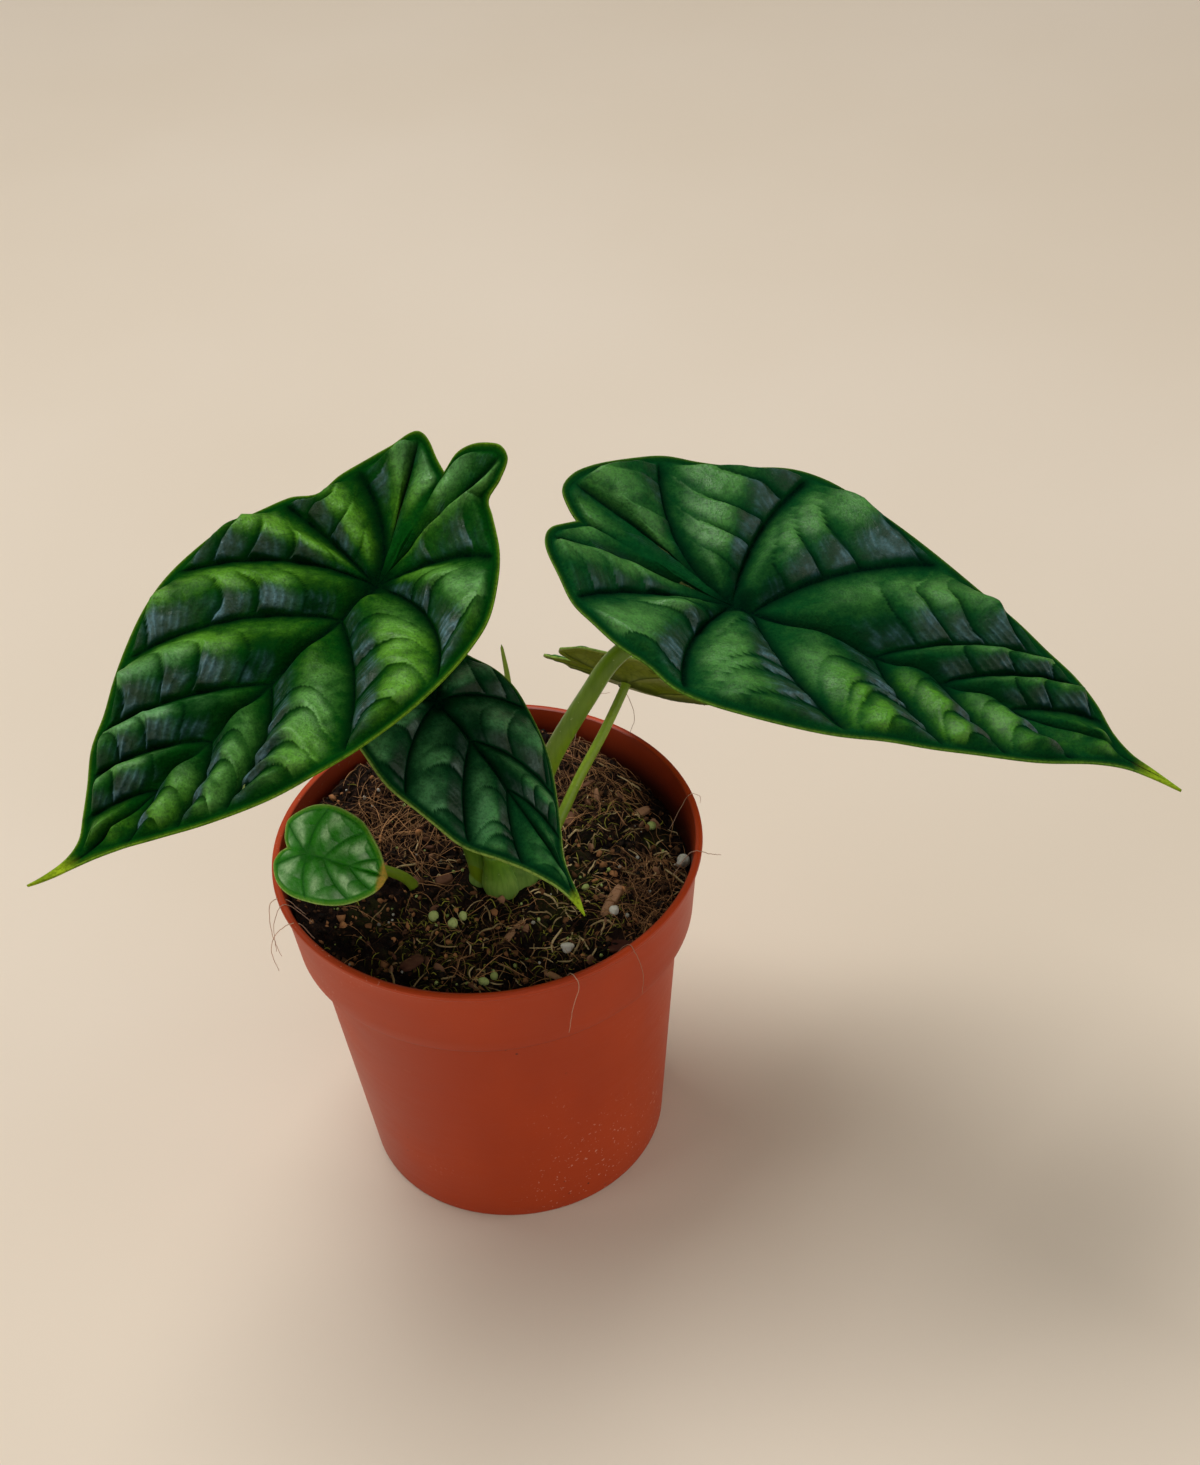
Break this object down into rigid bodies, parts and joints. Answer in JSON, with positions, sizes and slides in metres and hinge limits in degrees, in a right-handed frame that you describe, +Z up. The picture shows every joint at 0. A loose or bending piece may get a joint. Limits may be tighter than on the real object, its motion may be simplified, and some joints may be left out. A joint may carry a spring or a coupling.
{
  "type": "potted dragon scale alocasia",
  "caption": "Small potted aroid house plant with thick, deeply veined, scale-textured leaves on round stalks, in a thin-walled round nursery pot.",
  "frame": {"origin": "middle of the pot's underside, on the surface that it stands on", "axes": "+Z up along the pot's axis, +X to the right along the plant's widest spread, +Y away from the viewer"},
  "size_m": [0.2826, 0.1279, 0.2322],
  "materials": {
    "pot_plastic": "satin",
    "potting_mix": "matt, crumbly",
    "sheath_green": "satin",
    "stalk_green": "satin",
    "leaf_green": "satin, waxy",
    "leaf_underside": "matt",
    "bark": "matt"
  },
  "bodies": {
    "root": {"pot": "pot_plastic", "soil": "potting_mix", "crown": "sheath_green", "leaf_stalk_left": "stalk_green", "leaf_stalk_right": "stalk_green", "leaf_stalk_front": "stalk_green", "leaf_stalk_back": "stalk_green", "leaf_stalk_young": "stalk_green", "rolled_leaf": "stalk_green", "leaf_blade_left": "leaf_green", "leaf_blade_right": "leaf_green", "leaf_blade_front": "leaf_green", "leaf_blade_back": "leaf_underside", "leaf_blade_young": "leaf_green", "bark_chip": "bark", "wood_flake": "bark"}
  },
  "joints": []
}
